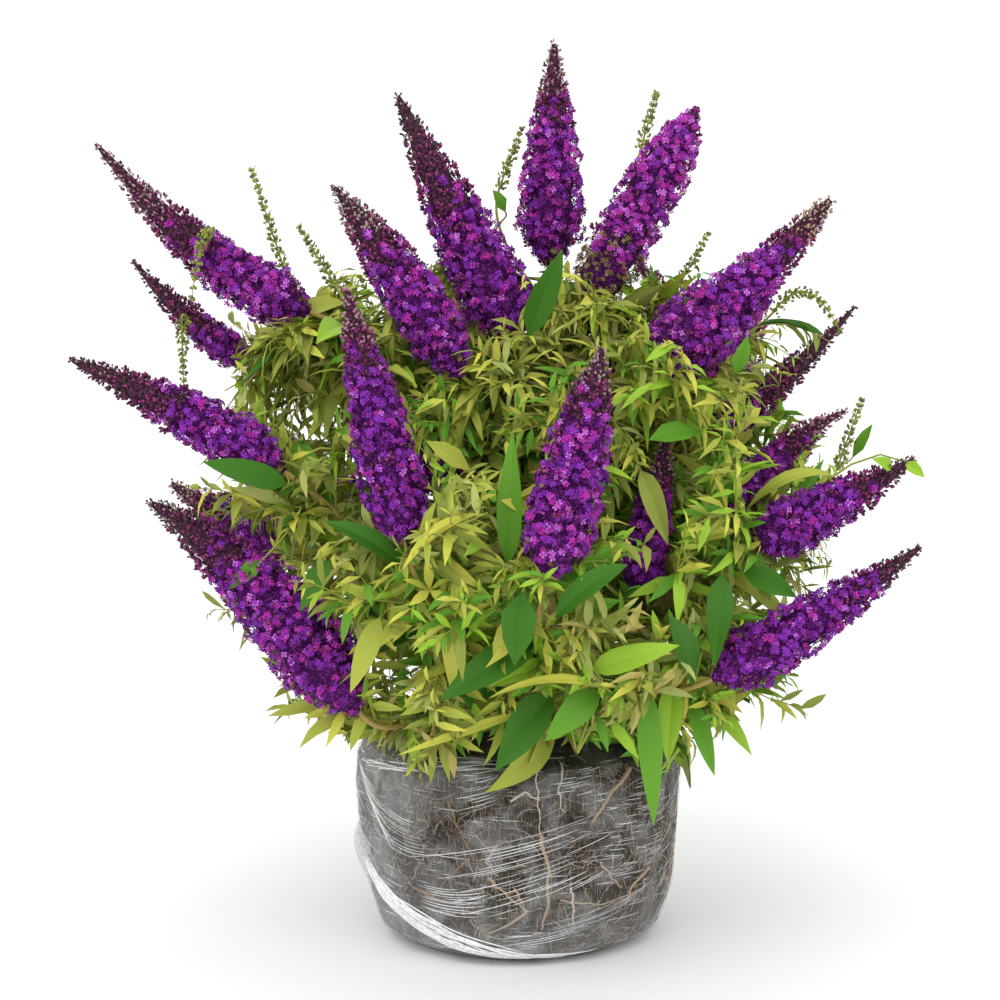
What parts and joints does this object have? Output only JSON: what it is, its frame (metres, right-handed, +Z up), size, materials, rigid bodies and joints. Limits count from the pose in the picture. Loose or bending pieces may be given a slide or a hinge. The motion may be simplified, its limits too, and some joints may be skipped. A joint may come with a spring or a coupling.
{
  "type": "butterfly bush",
  "caption": "Butterfly bush in flower: canes rise from a woody stool on a film-wrapped root ball into masses of lance leaves and tapering purple flower spikes.",
  "frame": {"origin": "centre of the root ball's flat underside", "axes": "+Z up; the picture looks along +Y, so the front faces -Y and its right is +X"},
  "size_m": [0.75, 0.6253, 0.824],
  "materials": {
    "film_wrapped_soil": "dark fibrous potting mix behind clear crinkled stretch film",
    "stretch_film": "clear stretch film gathered into a whitish roll",
    "bark": "pale brown young bark with fine lengthwise ridges",
    "foliage": "matte grey-green to yellow-green leaves with purple blossom"
  },
  "bodies": {
    "root": {"bough_back": "bark", "bough_back_left": "bark", "bough_back_left_low": "bark", "bough_back_left_top": "bark", "bough_back_right": "bark", "bough_back_right_low": "bark", "bough_back_right_top": "bark", "bough_back_skirt": "bark", "bough_back_top": "bark", "bough_front": "bark", "bough_front_left": "bark", "bough_front_skirt": "bark", "bough_left": "bark", "bough_left_skirt": "bark", "bough_lower_left": "bark", "bough_lower_right": "bark", "bough_right": "bark", "bough_right_front": "bark", "bough_right_skirt": "bark", "bough_top": "bark", "bough_top_left": "bark", "bough_top_right": "bark", "bough_upper_left": "bark", "bough_upper_right": "bark", "film_band": "stretch_film", "foliage_back": "foliage", "foliage_back_left": "foliage", "foliage_back_left_low": "foliage", "foliage_back_left_top": "foliage", "foliage_back_right": "foliage", "foliage_back_right_low": "foliage", "foliage_back_right_top": "foliage", "foliage_back_skirt": "foliage", "foliage_back_top": "foliage", "foliage_front": "foliage", "foliage_front_left": "foliage", "foliage_front_skirt": "foliage", "foliage_left": "foliage", "foliage_left_skirt": "foliage", "foliage_lower_left": "foliage", "foliage_lower_right": "foliage", "foliage_right": "foliage", "foliage_right_front": "foliage", "foliage_right_skirt": "foliage", "foliage_top": "foliage", "foliage_top_left": "foliage", "foliage_top_right": "foliage", "foliage_upper_left": "foliage", "foliage_upper_right": "foliage", "root_ball": "film_wrapped_soil", "stool": "bark"}
  },
  "joints": []
}
